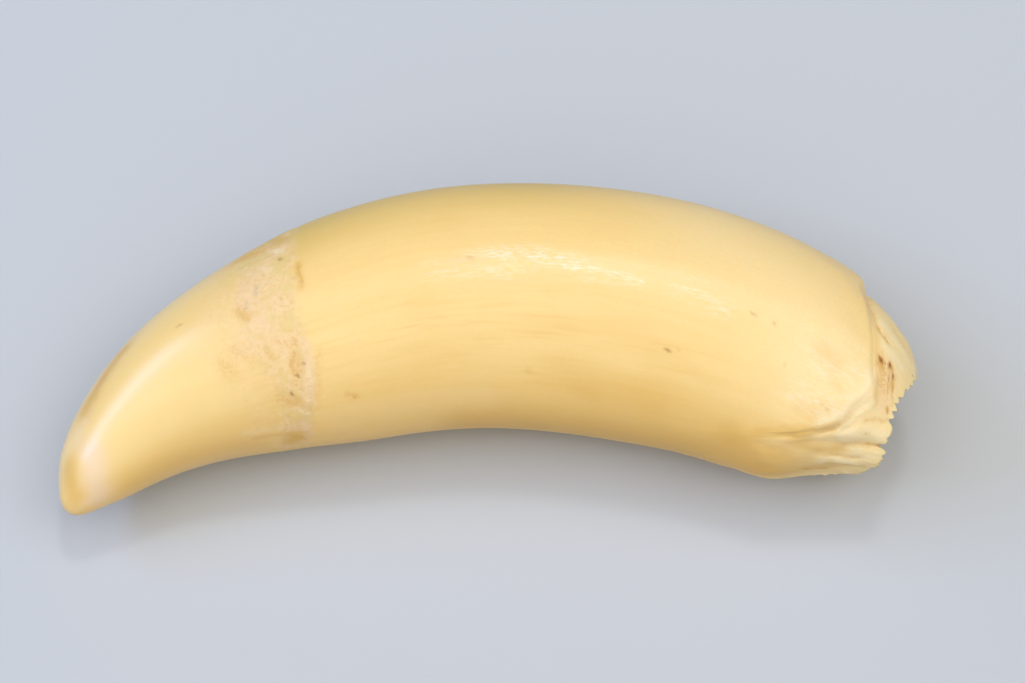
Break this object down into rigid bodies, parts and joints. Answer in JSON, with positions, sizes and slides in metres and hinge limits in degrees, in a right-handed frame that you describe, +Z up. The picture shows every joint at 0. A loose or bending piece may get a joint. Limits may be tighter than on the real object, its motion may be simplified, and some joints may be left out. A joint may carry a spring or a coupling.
{
  "type": "orca tooth",
  "caption": "Hook-shaped whale tooth lying on its side, with a glossy worn crown, a band where the gum met it, and a root that ends in a folded, ragged cone round a pulp pit.",
  "frame": {"origin": "middle of the bounding box, on the surface that the tooth lies on", "axes": "+X along the tooth's length from the tip to the root, +Y towards the convex edge of its bend, +Z up; it lies on its side as it comes to rest"},
  "size_m": [0.1004, 0.0396, 0.0244],
  "materials": {
    "tooth": "satin cream-yellow ivory, glossy on the crown and matt on the frayed root end"
  },
  "bodies": {
    "root": {"tooth": "tooth"}
  },
  "joints": []
}
